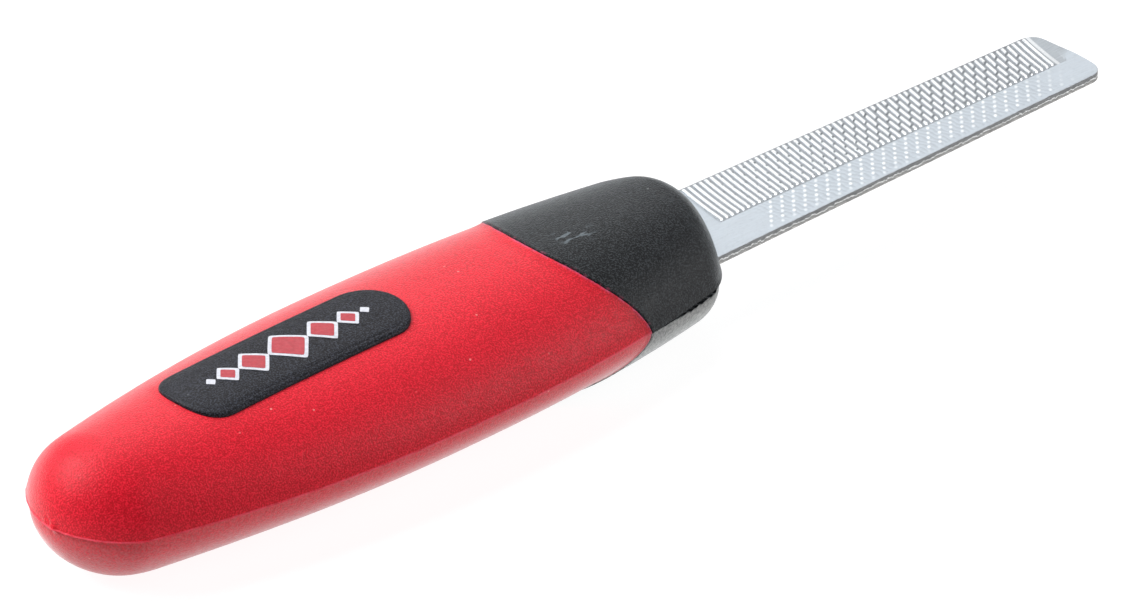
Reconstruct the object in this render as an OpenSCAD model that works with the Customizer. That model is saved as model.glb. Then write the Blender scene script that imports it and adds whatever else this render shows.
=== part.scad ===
// Hand file for claws: a thin steel file blade in a soft two-colour handle.
// X runs along the tool (butt at -X, blade tip at +X), Y across it, Z up.
// The origin is under the middle of the tool, at the level of the surface it lies on.

/* [Tool] */
// Overall length, butt to blade tip
tool_len = 170; // [150:1:190]
// Length of the handle, butt to collar front
handle_len = 103; // [95:1:112]

/* [Handle] */
// Half of the handle's greatest width
belly_half = 16.9; // [15:0.1:19]
// Distance from the butt to the widest place
belly_x = 52.5; // [48:0.5:60]
// Half-width that the outline tends to at the butt
butt_half = 8.6; // [7:0.1:10]
// Half-width that the outline tends to at the collar front
front_half = 10.8; // [9.5:0.1:12]
// How sharply the outline narrows towards the butt
butt_curve = 2; // [1.8:0.1:2.6]
// How sharply the outline narrows towards the front
front_curve = 2.4; // [1.8:0.1:2.6]
// Thickness of the handle above the seam, at the belly
rise_top = 9.4; // [8.5:0.1:10.5]
// Thickness of the handle below the seam
rise_bottom = 8.8; // [8:0.1:10]
// Share of the upper thickness that is lost towards both ends
crown = 0.1; // [0:0.02:0.16]
// Fullness of the cross-section at its top and bottom, 2 is an ellipse
fullness = 2.1; // [2:0.05:2.4]
// Fullness of the upper half towards the seam, less makes a sharper edge there
edge_top = 1.5; // [1.4:0.05:1.9]
// Fullness of the lower half towards the seam
edge_bottom = 1.8; // [1.5:0.05:1.9]
// Length over which the butt rounds off, seen from above
butt_round = 7.2; // [6:0.1:9]
// Length over which the butt rounds off above the seam, seen from the side
butt_drop_top = 8.6; // [6:0.1:12]
// Length over which the butt rounds off below the seam, seen from the side
butt_drop_bottom = 10.4; // [8:0.1:12]
// Length over which the collar front rounds off, seen from above
front_round = 7.5; // [5:0.1:8]
// Length over which the collar front rounds off, seen from the side
front_drop = 4.6; // [3.5:0.1:8]

/* [Cover and core] */
// Wall of the soft cover at the belly
cover_wall = 2.2; // [1.8:0.1:2.8]
// Where red meets black on the top line, from the butt
split_top = 75.5; // [72:0.1:79]
// Where red meets black on the bottom line, from the butt
split_bottom = 68; // [64:0.5:74]
// Where red meets black at the seam, from the butt
split_side = 83.3; // [81:0.1:86]
// How far the black stands proud of the red
collar_proud = 0.15; // [0.1:0.05:0.3]

/* [Badge] */
// Length of the raised badge
badge_len = 35.5; // [30:0.5:40]
// Width of the raised badge
badge_w = 11.5; // [9:0.5:12]
// Middle of the badge, from the butt
badge_x = 37.5; // [36:0.5:44]
// Height of the badge above the red
badge_proud = 0.5; // [0.3:0.1:0.8]
// Bedding gap under the badge, which keeps its flat facets clear of the red's
badge_seat = 0.05; // [0.03:0.01:0.1]

/* [Blade] */
// Thickness of the steel strip
blade_t = 1.2; // [1:0.1:1.4]
// Width of the blade where it leaves the collar
blade_w = 15.4; // [14:0.1:16]
// Width of the blade just before its tip corners
tip_w = 12.9; // [12:0.1:13.5]
// Radius of the tip's two corners
tip_round = 2.5; // [1.5:0.1:3.5]
// Depth of the hollow that carries the teeth
hollow_depth = 0.2; // [0.15:0.05:0.4]
// Width of the flat strip beside the hollow, as a share of the blade's width
flat_share = 0.38; // [0.3:0.01:0.45]
// How much the tang is thinned on its underside, behind the ground back of the blade
tang_relief = 0.05; // [0.03:0.01:0.1]

/* [Tang] */
// Width of the tang inside the handle
tang_w = 11; // [9:0.5:13]
// Length of the blade hidden inside the handle
tang_len = 46; // [40:1:55]
// Diameter of the two tang holes
tang_hole_d = 4; // [3:0.1:5]
// Play between a peg and its hole, on the radius
peg_play = 0.05; // [0.05:0.01:0.15]
// Height of a peg above the blade's top face
peg_rise = 3; // [2:0.5:3.5]

/* [Hidden] */

$fn = 96;
UP = 1;
DOWN = -1;

// Grid of the handle's surfaces: rows along the tool, columns round one half
GRIP_ROWS = 22;
COLLAR_ROWS = 12;
ROWS = GRIP_ROWS + COLLAR_ROWS;
COLS = 20;
// A power above 1 crowds the rows towards the rounded ends
END_CROWD = 1.7;

// Badge: points round its outline, and rings from its middle to its edge
BADGE_POINTS = 48;
BADGE_RINGS = [0.35, 0.7, 0.9, 1];
// Share of the badge's height that each ring reaches
BADGE_LEVELS = [1, 1, 1, 0.7];

seam_z = rise_bottom;
butt_x = -tool_len / 2;
core_shrink_y = (belly_half - cover_wall) / belly_half;
core_shrink_z = (rise_bottom - cover_wall) / rise_bottom;
core_shrink_x = (handle_len - 2 * cover_wall) / handle_len;
collar_grow = 1 + collar_proud / belly_half;
eps = 0.01;

// ---- the handle's outline ----

// 0 at the very end, 1 once the rounding is over
function round_end(d, r) = d >= r ? 1 : sqrt(max(0, 1 - pow(1 - d / r, 2)));

// Share of the way from the belly to the butt or to the front
function away(x) = x < belly_x ? (belly_x - x) / belly_x : (x - belly_x) / (handle_len - belly_x);

// Half-width at a distance x from the butt
function half_width(x) =
    let (side = x < belly_x ? [butt_half, butt_curve] : [front_half, front_curve])
    (belly_half - (belly_half - side[0]) * pow(away(x), side[1]))
    * round_end(x, butt_round) * round_end(handle_len - x, front_round);

// Thickness above or below the seam at a distance x from the butt
function half_height(x, side) =
    (side == UP
        ? rise_top * (1 - crown * pow(away(x), 2)) * round_end(x, butt_drop_top)
        : rise_bottom * round_end(x, butt_drop_bottom))
    * round_end(handle_len - x, front_drop);

// Superellipse section: share of the half-width and half-height at angle a
function section_y(a) = sign(cos(a)) * pow(abs(cos(a)), 2 / fullness);
function section_z(a, side) = pow(abs(sin(a)), 2 / (side == UP ? edge_top : edge_bottom));

// Where red meets black: furthest forward at the seam, set back on top and below
function split_x(a, side) =
    let (back = side == UP ? split_top : split_bottom)
    back + (split_side - back) * pow(section_y(a), 2);

// Distance from the butt of grid row i at angle a
function row_x(i, a, side) =
    let (split = split_x(a, side))
    i <= GRIP_ROWS
        ? split * pow(i / GRIP_ROWS, END_CROWD)
        : handle_len - (handle_len - split) * pow((ROWS - i) / COLLAR_ROWS, END_CROWD);

// A point of the handle's skin, scaled by k about the middle of the handle
function skin_point(i, j, side, k) =
    let (a = 180 * j / COLS, x = row_x(i, a, side))
    [butt_x + handle_len / 2 + (x - handle_len / 2) * k[0],
     half_width(x) * section_y(a) * k[1],
     seam_z + side * half_height(x, side) * section_z(a, side) * k[2]];

// ---- grids to solids ----

function grid(first, last, side, k) =
    [for (i = [first:last]) for (j = [0:COLS]) skin_point(i, j, side, k)];

// Two triangles for each cell between two point rows a and b
function cell(a0, a1, b0, b1) = [[a0, b1, a1], [a0, b0, b1]];

function flipped(faces) = [for (f = faces) [f[2], f[1], f[0]]];

// Faces of a grid of n + 1 rows, numbered from start
function sheet_faces(n, start) =
    [for (i = [0:n - 1]) for (j = [0:COLS - 1])
        each cell(start + i * (COLS + 1) + j, start + i * (COLS + 1) + j + 1,
                  start + (i + 1) * (COLS + 1) + j, start + (i + 1) * (COLS + 1) + j + 1)];

// Drops triangles that shrink to nothing where a row closes to one point
function solid_only(faces, points) =
    [for (f = faces)
        if (norm(cross(points[f[1]] - points[f[0]], points[f[2]] - points[f[0]])) > 1e-7) f];

// Half shell between an outer and an inner skin, from one row to another. Its first row lies
// on the skin start, so that it meets the last row of the shell before it face to face.
module half_shell(first, last, side, outer, inner, start) {
    n = last - first;
    count = (n + 1) * (COLS + 1);
    points = concat(grid(first, first, side, start), grid(first + 1, last, side, outer),
                    grid(first, last, side, inner));
    outside = sheet_faces(n, 0);
    inside = flipped(sheet_faces(n, count));
    edges = [for (i = [0:n - 1]) each concat(
        cell(i * (COLS + 1) + count, i * (COLS + 1), (i + 1) * (COLS + 1) + count, (i + 1) * (COLS + 1)),
        cell(i * (COLS + 1) + COLS, i * (COLS + 1) + COLS + count,
             (i + 1) * (COLS + 1) + COLS, (i + 1) * (COLS + 1) + COLS + count))];
    ends = [for (j = [0:COLS - 1]) each concat(
        flipped(cell(j, j + 1, count + j, count + j + 1)),
        cell(n * (COLS + 1) + j, n * (COLS + 1) + j + 1,
             n * (COLS + 1) + j + count, n * (COLS + 1) + j + 1 + count))];
    faces = solid_only(concat(outside, inside, edges, ends), points);
    polyhedron(points, side == UP ? faces : flipped(faces), convexity = 6);
}

// Solid half inside a skin, closed by the seam plane
module half_solid(side, k) {
    points = grid(0, ROWS, side, k);
    outside = sheet_faces(ROWS, 0);
    seam = [for (i = [0:ROWS - 1])
        each cell(i * (COLS + 1) + COLS, i * (COLS + 1), (i + 1) * (COLS + 1) + COLS, (i + 1) * (COLS + 1))];
    faces = solid_only(concat(outside, seam), points);
    polyhedron(points, side == UP ? faces : flipped(faces), convexity = 4);
}

// ---- the blade ----

blade_len = tool_len - handle_len;
tip_x = tool_len / 2;
collar_x = butt_x + handle_len;
tang_x = collar_x - tang_len;
hole_near = collar_x - 18;
hole_far = collar_x - 36;
// The blade keeps its full width this far inside the collar
shoulder_in = 9;
// The ground back of the blade starts this far ahead of the collar
back_start = 0.3;

// Half-width of the blade at a place along the tool
function blade_half(x) = (blade_w + (tip_w - blade_w) * (x - collar_x) / blade_len) / 2;

// Edge between the flat strip and the hollow
function hollow_edge(x) = -blade_half(x) + 2 * flat_share * blade_half(x);

module blade_outline() {
    shoulder_x = collar_x - shoulder_in;
    polygon([
        [shoulder_x, -blade_half(shoulder_x)],
        [tip_x - tip_round, -blade_half(tip_x - tip_round)],
        [tip_x - tip_round, blade_half(tip_x - tip_round)],
        [shoulder_x, blade_half(shoulder_x)]]);
    for (side = [-1, 1])
        translate([tip_x - tip_round, side * (blade_half(tip_x) - tip_round)]) circle(tip_round);
    translate([tip_x - tip_round - eps, -blade_half(tip_x) + tip_round])
        square([tip_round + eps, 2 * (blade_half(tip_x) - tip_round)]);
    translate([tang_x, -tang_w / 2]) square([tang_len, tang_w]);
}

// Round bar that leaves the shallow hollow behind, tilted with the blade's taper
module hollow_cutter() {
    x0 = collar_x - 1;
    x1 = tip_x + 2;
    low = (hollow_edge(x0) + hollow_edge(x1)) / 2;
    high = (blade_half(x0) + blade_half(x1)) / 2;
    radius = pow((high - low) / 2, 2) / (2 * hollow_depth) + hollow_depth / 2;
    middle_x0 = (hollow_edge(x0) + blade_half(x0)) / 2;
    middle_x1 = (hollow_edge(x1) + blade_half(x1)) / 2;
    translate([x0, middle_x0, seam_z + blade_t / 2 - hollow_depth + radius])
        rotate([0, 0, atan2(middle_x1 - middle_x0, x1 - x0)])
            rotate([0, 90, 0]) cylinder(h = x1 - x0, r = radius, $fn = 360);
}

module file_blade() {
    color("silver") difference() {
        translate([0, 0, seam_z - blade_t / 2]) linear_extrude(blade_t) blade_outline();
        hollow_cutter();
        translate([tang_x - 1, -blade_w, seam_z - blade_t])
            cube([tang_len + 1 + back_start, 2 * blade_w, blade_t / 2 + tang_relief]);
        for (x = [hole_near, hole_far])
            translate([x, 0, seam_z - blade_t]) cylinder(h = 2 * blade_t, d = tang_hole_d);
    }
}

// Room for the blade inside the handle
module blade_slot() {
    translate([0, 0, seam_z - blade_t / 2]) linear_extrude(blade_t) blade_outline();
}

// ---- the core ----

core_k = [core_shrink_x, core_shrink_y, core_shrink_z];

module core_upper() {
    color("dimgray") difference() {
        half_solid(UP, core_k);
        blade_slot();
        for (x = [hole_near, hole_far])
            translate([x, 0, seam_z]) cylinder(h = blade_t / 2 + peg_rise + peg_play, d = tang_hole_d);
    }
}

module core_lower() {
    color("dimgray") {
        difference() {
            half_solid(DOWN, core_k);
            blade_slot();
        }
        for (x = [hole_near, hole_far])
            translate([x, 0, seam_z - blade_t])
                cylinder(h = 1.5 * blade_t + peg_rise, d = tang_hole_d - 2 * peg_play);
    }
}

// ---- the soft cover ----

skin_k = [1, 1, 1];

module grip_upper() {
    color("crimson") half_shell(0, GRIP_ROWS, UP, skin_k, core_k, skin_k);
}

module grip_lower() {
    color("crimson") half_shell(0, GRIP_ROWS, DOWN, skin_k, core_k, skin_k);
}

module collar(side) {
    color("#222222") difference() {
        half_shell(GRIP_ROWS, ROWS, side, [1, collar_grow, 1], core_k, skin_k);
        blade_slot();
    }
}

module collar_upper() {
    collar(UP);
}

module collar_lower() {
    collar(DOWN);
}

// ---- the badge ----

// Height of the red top surface above the seam at a plan position
function top_height(x, y) =
    half_height(x, UP) * pow(max(0, 1 - pow(abs(y) / half_width(x), fullness)), 1 / edge_top);

// A point of the badge's outline, shrunk to a share s: a strip with round ends
function badge_plan(p, s) =
    let (a = 360 * p / BADGE_POINTS, r = badge_w / 2, run = badge_len / 2 - r)
    [(sign(cos(a)) * (abs(cos(a)) < eps ? 0 : run) + r * cos(a)) * s, r * sin(a) * s];

function badge_point(p, s, lift) =
    let (q = badge_plan(p, s))
    [butt_x + badge_x + q[0], q[1], seam_z + top_height(badge_x + q[0], q[1]) + lift];

module badge_pad() {
    last = len(BADGE_RINGS) - 1;
    top = [for (r = [0:last]) for (p = [0:BADGE_POINTS - 1])
        badge_point(p, BADGE_RINGS[r], badge_proud * BADGE_LEVELS[r])];
    bottom = [for (r = [last:-1:0]) for (p = [0:BADGE_POINTS - 1])
        badge_point(p, BADGE_RINGS[r], badge_seat)];
    points = concat(top, bottom);
    rings = 2 * len(BADGE_RINGS);
    walls = [for (r = [0:rings - 2]) for (p = [0:BADGE_POINTS - 1])
        let (q = (p + 1) % BADGE_POINTS)
        each cell((r + 1) * BADGE_POINTS + p, (r + 1) * BADGE_POINTS + q,
                  r * BADGE_POINTS + p, r * BADGE_POINTS + q)];
    lids = [
        [for (p = [0:BADGE_POINTS - 1]) BADGE_POINTS - 1 - p],
        [for (p = [0:BADGE_POINTS - 1]) (rings - 1) * BADGE_POINTS + p]];
    color("#2b2b2b") polyhedron(points, concat(walls, lids), convexity = 4);
}

file_blade();
core_upper();
core_lower();
grip_upper();
grip_lower();
collar_upper();
collar_lower();
badge_pad();
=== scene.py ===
"""Looks for the claw file: a soft red and black handle with a badge, and a thin steel blade."""

import math

import bmesh
import bpy
import numpy as np
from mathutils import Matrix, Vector, noise


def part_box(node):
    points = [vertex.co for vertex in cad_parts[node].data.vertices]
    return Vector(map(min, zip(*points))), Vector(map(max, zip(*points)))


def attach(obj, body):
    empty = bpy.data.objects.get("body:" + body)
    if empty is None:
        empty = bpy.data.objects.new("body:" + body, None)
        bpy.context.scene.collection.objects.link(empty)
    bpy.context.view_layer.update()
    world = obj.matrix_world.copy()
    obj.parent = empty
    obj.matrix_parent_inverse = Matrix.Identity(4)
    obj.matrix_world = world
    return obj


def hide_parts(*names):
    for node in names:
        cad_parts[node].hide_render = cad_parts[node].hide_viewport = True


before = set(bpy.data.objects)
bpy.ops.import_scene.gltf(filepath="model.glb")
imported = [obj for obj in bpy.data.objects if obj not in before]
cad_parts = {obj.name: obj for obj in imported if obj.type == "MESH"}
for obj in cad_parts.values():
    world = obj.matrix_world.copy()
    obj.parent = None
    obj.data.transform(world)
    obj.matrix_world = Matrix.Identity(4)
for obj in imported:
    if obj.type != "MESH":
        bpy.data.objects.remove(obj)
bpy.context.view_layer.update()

MM = 0.001
UP = 1
DOWN = -1

# ---------------------------------------------------------------- sizes, in mm
# Places named x in the functions below are measured from the butt

grip_low, grip_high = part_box("grip_upper")
collar_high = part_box("collar_upper")[1]
blade_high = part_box("file_blade")[1]
badge_low, badge_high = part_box("badge_pad")

BUTT_X = grip_low.x / MM
FRONT_X = collar_high.x / MM
TIP_X = blade_high.x / MM
SEAM_Z = grip_low.z / MM
HANDLE_LEN = FRONT_X - BUTT_X
BELLY_HALF = grip_high.y / MM
RISE_TOP = grip_high.z / MM - SEAM_Z
RISE_BOTTOM = SEAM_Z
BLADE_TOP = blade_high.z / MM - SEAM_Z
# Half-width at the collar: a little under the CAD blade's widest place, inside the handle
BELOW_SHOULDER = 0.06
BLADE_HALF = blade_high.y / MM - BELOW_SHOULDER
BADGE_START = badge_low.x / MM - BUTT_X
BADGE_END = badge_high.x / MM - BUTT_X
BADGE_HALF = badge_high.y / MM
TOOL_LEN = TIP_X - BUTT_X

# The handle's outline, as in the CAD part
BELLY_X = 52.5
BUTT_HALF = 8.6
FRONT_HALF = 10.8
BUTT_CURVE = 2.0
FRONT_CURVE = 2.4
CROWN = 0.1
FULLNESS_Y = 2.1
FULLNESS_UP = 1.5
FULLNESS_DOWN = 1.8
BUTT_ROUND = 7.2
BUTT_DROP_TOP = 8.6
BUTT_DROP_BOTTOM = 10.4
FRONT_ROUND = 7.5
FRONT_DROP = 4.6
COVER_WALL = 2.2
SPLIT_TOP = 75.5
SPLIT_BOTTOM = 68.0
SPLIT_SIDE = 83.3
COLLAR_PROUD = 0.15
# How much prouder the black is on top at its border, and along its lower half
PROUD_TOP = 0.22
PROUD_LOW = 0.3
# Length over which the extra height on top fades out towards the front
PROUD_FADE = 19.0
# Where the detailed blade starts, inside the collar
ROOT_X = 98.5
CORE_K = ((HANDLE_LEN - 2 * COVER_WALL) / HANDLE_LEN,
          (BELLY_HALF - COVER_WALL) / BELLY_HALF,
          (RISE_BOTTOM - COVER_WALL) / RISE_BOTTOM)
HANDLE_MIDDLE = np.array([BUTT_X + HANDLE_LEN / 2, 0.0, SEAM_Z])

# Points closer than this, in metres, become one
MERGE_AT = 1e-7
# Edges bent by more than these angles stay sharp, in degrees
SHARP_COVER = 38.0
SHARP_BADGE = 40.0
SHARP_BLADE = 34.0
SHARP_TANG = 30.0


# ---------------------------------------------------------------- helpers

def smooth_step(value):
    t = np.clip(value, 0.0, 1.0)
    return t * t * (3.0 - 2.0 * t)


def hump(distance, reach):
    """1 at no distance, falling away smoothly over about the reach."""
    return np.exp(-(distance / reach) ** 2)


def wobble(values, scale, seed):
    """Smooth noise from -1 to 1 along a line of numbers."""
    flat = np.ravel(values)
    out = np.array([noise.noise(Vector((v * scale, seed, 0.37 * seed))) for v in flat])
    return out.reshape(np.shape(values))


def rough_at(points, scale, seed):
    """Smooth noise from -1 to 1 at an array of points, last axis x, y, z."""
    flat = points.reshape(-1, 3) * scale
    out = np.array([noise.noise(Vector(p) + Vector((seed, 0.0, 0.0))) for p in flat])
    return out.reshape(points.shape[:-1])


def new_object(name, points, faces, sharp_angle, fields=None):
    """A mesh object from points in mm and faces, with one number for each point in each field."""
    mesh = bpy.data.meshes.new(name)
    mesh.from_pydata([tuple(p) for p in np.asarray(points) * MM], [], faces)
    for label, values in (fields or {}).items():
        full = np.zeros(len(points), dtype=np.float32)
        full[:np.size(values)] = np.ravel(values)
        mesh.attributes.new(label, "FLOAT", "POINT").data.foreach_set("value", full)
    obj = bpy.data.objects.new(name, mesh)
    bpy.context.scene.collection.objects.link(obj)
    tidy_mesh(obj, sharp_angle)
    return obj


def tidy_mesh(obj, sharp_angle):
    bm = bmesh.new()
    bm.from_mesh(obj.data)
    bmesh.ops.remove_doubles(bm, verts=bm.verts, dist=MERGE_AT)
    bmesh.ops.dissolve_degenerate(bm, edges=bm.edges, dist=MERGE_AT)
    bmesh.ops.recalc_face_normals(bm, faces=bm.faces)
    bm.to_mesh(obj.data)
    bm.free()
    obj.data.shade_smooth()
    obj.data.set_sharp_from_angle(angle=math.radians(sharp_angle))
    obj.data.update()


def grid_faces(rows, cols, start=0):
    return [(start + i * cols + j, start + (i + 1) * cols + j,
             start + (i + 1) * cols + j + 1, start + i * cols + j + 1)
            for i in range(rows - 1) for j in range(cols - 1)]


def grid_rim(rows, cols):
    """Indices round the border of a grid, in order, once."""
    near = [i * cols for i in range(rows)]
    end = [(rows - 1) * cols + j for j in range(1, cols)]
    far = [i * cols + cols - 1 for i in range(rows - 2, -1, -1)]
    start = list(range(cols - 2, 0, -1))
    return near + end + far + start


def place(obj, slot, *nodes):
    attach(obj, "root")
    if nodes:
        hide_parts(*nodes)


# ---------------------------------------------------------------- the handle's skin

def round_end(d, r):
    return np.where(d >= r, 1.0, np.sqrt(np.clip(1.0 - (1.0 - d / r) ** 2, 0.0, 1.0)))


def away(x):
    """Share of the way from the belly to the butt or to the front."""
    share = np.where(x < BELLY_X, (BELLY_X - x) / BELLY_X, (x - BELLY_X) / (HANDLE_LEN - BELLY_X))
    return np.clip(share, 0.0, 1.0)


def half_width(x):
    end = np.where(x < BELLY_X, BUTT_HALF, FRONT_HALF)
    curve = np.where(x < BELLY_X, BUTT_CURVE, FRONT_CURVE)
    body = BELLY_HALF - (BELLY_HALF - end) * np.power(away(x), curve)
    return body * round_end(x, BUTT_ROUND) * round_end(HANDLE_LEN - x, FRONT_ROUND)


def half_height(x, side):
    """Thickness above or below the seam, x from the butt."""
    if side == UP:
        height = RISE_TOP * (1.0 - CROWN * away(x) ** 2) * round_end(x, BUTT_DROP_TOP)
    else:
        height = RISE_BOTTOM * round_end(x, BUTT_DROP_BOTTOM)
    return height * round_end(HANDLE_LEN - x, FRONT_DROP)


def section_y(a):
    return np.sign(np.cos(a)) * np.abs(np.cos(a)) ** (2.0 / FULLNESS_Y)


def section_z(a, side):
    return np.abs(np.sin(a)) ** (2.0 / (FULLNESS_UP if side == UP else FULLNESS_DOWN))


def split_x(a, side):
    back = SPLIT_TOP if side == UP else SPLIT_BOTTOM
    return back + (SPLIT_SIDE - back) * section_y(a) ** 2


def skin(x, a, side):
    """Points of the handle's skin in mm, x measured from the butt."""
    return np.stack([BUTT_X + x, half_width(x) * section_y(a),
                     SEAM_Z + side * half_height(x, side) * section_z(a, side)], axis=-1)


def skin_normals(points, pole_first, pole_last):
    along = np.gradient(points, axis=0)
    across = np.gradient(points, axis=1)
    normal = np.cross(along, across)
    flip = np.sign(np.sum(normal * (points - HANDLE_MIDDLE), axis=-1, keepdims=True))
    normal = normal * np.where(flip == 0, 1.0, flip)
    size = np.linalg.norm(normal, axis=-1, keepdims=True)
    normal = normal / np.where(size < 1e-12, 1.0, size)
    if pole_first:
        normal[0] = (-1.0, 0.0, 0.0)
    if pole_last:
        normal[-1] = (1.0, 0.0, 0.0)
    return normal


# Angles round one half, close together near the seam
SEAM_STEPS = (0.0, 0.2, 0.45, 0.75, 1.1, 1.5, 2.0, 2.7, 3.6, 4.8, 6.4, 8.4, 11.0, 14.0)
QUARTER = np.concatenate([SEAM_STEPS, np.linspace(17.0, 90.0, 26)])
ANGLES = np.radians(np.concatenate([QUARTER, 180.0 - QUARTER[-2::-1]]))

GRIP_ROWS = 230
COLLAR_ROWS = 120
END_CROWD = 1.7
# Rows close to where red meets black: distance from the border and height of the lip, in mm
RED_LIP = ((0.95, 0.0), (0.7, 0.01), (0.5, 0.025), (0.34, 0.05), (0.22, 0.07), (0.12, 0.055),
           (0.05, -0.01), (0.0, -0.1), (0.0, -0.4))
BLACK_LIP = ((0.0, -0.4), (0.0, -0.02), (0.02, 0.06), (0.06, 0.115), (0.12, 0.15), (0.22, 0.165),
             (0.4, 0.16), (0.65, 0.15), (0.95, 0.15))
# Length over which the lips' rows give way to the even rows of the body
LIP_ROOM = 0.2
# Height, noise scale and seed of the waves in the border between the colours
BORDER_WAVES = ((0.09, 9.0, 3.0), (0.08, 37.0, 7.0))
# On top the red swells up to meet the thicker black: height, and reach from the border
RED_SWELL = 0.16
SWELL_REACH = 1.1
# Moulding flash on the seam: height and reach above it, then below it
FLASH_UP = (0.085, 0.16)
FLASH_DOWN = (0.035, 0.07)
# The lower half is set back below the seam: depth, what comes on top, and reach. The red has
# more of it at the butt, and the black where its seam is open
RED_SET_BACK = (0.06, 0.3, 1.4)
BLACK_SET_BACK = (0.05, 0.2, 1.3)
# The seam of the black opens from here on, over this length
OPENS_AT = 82.0
OPENS_OVER = 13.0
# Gap above and below the seam where it is shut, and what opening adds
GAP_UP = (0.02, 0.10)
GAP_DOWN = (0.03, 0.78)
# The upper half of the black overhangs its open seam: height and reach
OVERHANG = (0.13, 0.35)
# Room between the blade's faces and the slot it comes out of
SLOT_ROOM = 0.04
# Seam faces of the red halves are drawn back by this much
RED_GAP = 0.006
# Painted reflection of the bright floor, with some pale dust film, below the seam: share at the
# seam, what the flank adds, and over which height
GLARE_DUST_FLANK = (0.6, 0.4, 4.5)
# On the belly the painted reflection and film lose this share, from this height below the seam on,
# over this height
GLARE_DUST_BELLY = (0.75, 5.2, 2.2)
# Height over which the painted reflection and film set in outside the seam
GLARE_DUST_EDGE = 0.12
# Torn gate mark on the seam at the butt: its middle, how it dies out, its height and bumps
GATE_AT = np.array([BUTT_X + 0.1, -0.5, SEAM_Z])
GATE_FALL = (0.8, 0.4, 0.9)
GATE_RISE = 0.06
GATE_BUMPS = 0.34
# Where the top of the collar is scuffed, and how quickly the scuffs die out along x, y and z
SCUFF_AT = np.array([BUTT_X + 81.6, -2.8, SEAM_Z + 9.0])
SCUFF_REACH = (0.1, 0.3, 0.0)


def border_wave(a, side):
    """The moulded border between the colours isn't a perfect line."""
    return sum(height * wobble(a, scale, seed + side) for height, scale, seed in BORDER_WAVES)


def grip_half(name, side):
    a = ANGLES[None, :]
    split = split_x(ANGLES, side) + border_wave(ANGLES, side)
    body = np.linspace(0.0, 1.0, GRIP_ROWS) ** END_CROWD
    x_body = (split[None, :] - RED_LIP[0][0] - LIP_ROOM) * body[:, None]
    x_lip = np.stack([split - d for d, lift in RED_LIP])
    x = np.concatenate([x_body, x_lip])
    steps = np.concatenate([np.zeros(GRIP_ROWS), [h for d, h in RED_LIP]])
    lift = steps[:, None] * np.ones_like(x)
    base = skin(x, a * np.ones_like(x), side)
    normal = skin_normals(base, True, False)
    dz = np.abs(base[..., 2] - SEAM_Z)
    # The lip along the border is fuller towards the seam
    lift = np.where(lift > 0, lift * (0.45 + 0.9 * np.abs(section_y(a)) ** 3), lift)
    swell = hump(split[None, :] - x, SWELL_REACH) * section_z(a, side) ** 2
    lift = np.where(lift >= 0, lift + RED_SWELL * swell, lift)
    slow, quick = wobble(x[:, 0], 0.6, 11.0)[:, None], wobble(x[:, 0], 2.3, 5.0)[:, None]
    ripple = 0.75 + 0.55 * slow + 0.3 * quick
    at_butt = 1.0 - smooth_step((x - 3.0) / 16.0)
    if side == UP:
        lift = lift + FLASH_UP[0] * ripple * (1.0 + 0.6 * at_butt) * hump(dz, FLASH_UP[1])
    else:
        depth, more, reach = RED_SET_BACK
        lift = lift - (depth + more * at_butt) * hump(dz, reach)
        lift = lift + FLASH_DOWN[0] * ripple * hump(dz, FLASH_DOWN[1])
    near_gate = np.exp(-np.sum((base - GATE_AT) ** 2 * GATE_FALL, axis=-1))
    active = near_gate > 0.01
    bumps = np.zeros_like(dz)
    bumps[active] = rough_at(base[active], 0.95, 4.0) + 0.4 * rough_at(base[active], 2.3, 9.0)
    lift = lift + near_gate * (GATE_RISE + GATE_BUMPS * bumps)
    outer = base + normal * lift[..., None]
    outer[..., 2] = np.maximum(outer[..., 2], 0.0) if side == DOWN else outer[..., 2]
    border = hump(split[None, :] - x, 0.3) * np.ones_like(x)
    # Painted shade on the red beside the proud black, strongest on the flanks
    shade_beside_black = hump(split[None, :] - x, 1.3) * np.abs(section_y(a)) ** 2
    fields = {"border": border, "shade_beside_black": shade_beside_black, "floor_glare_and_dust": glare_dust_share(dz, 0.02, side)}
    return close_shell(name, outer, base, side, RED_GAP * np.ones(len(x)), fields)


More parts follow.
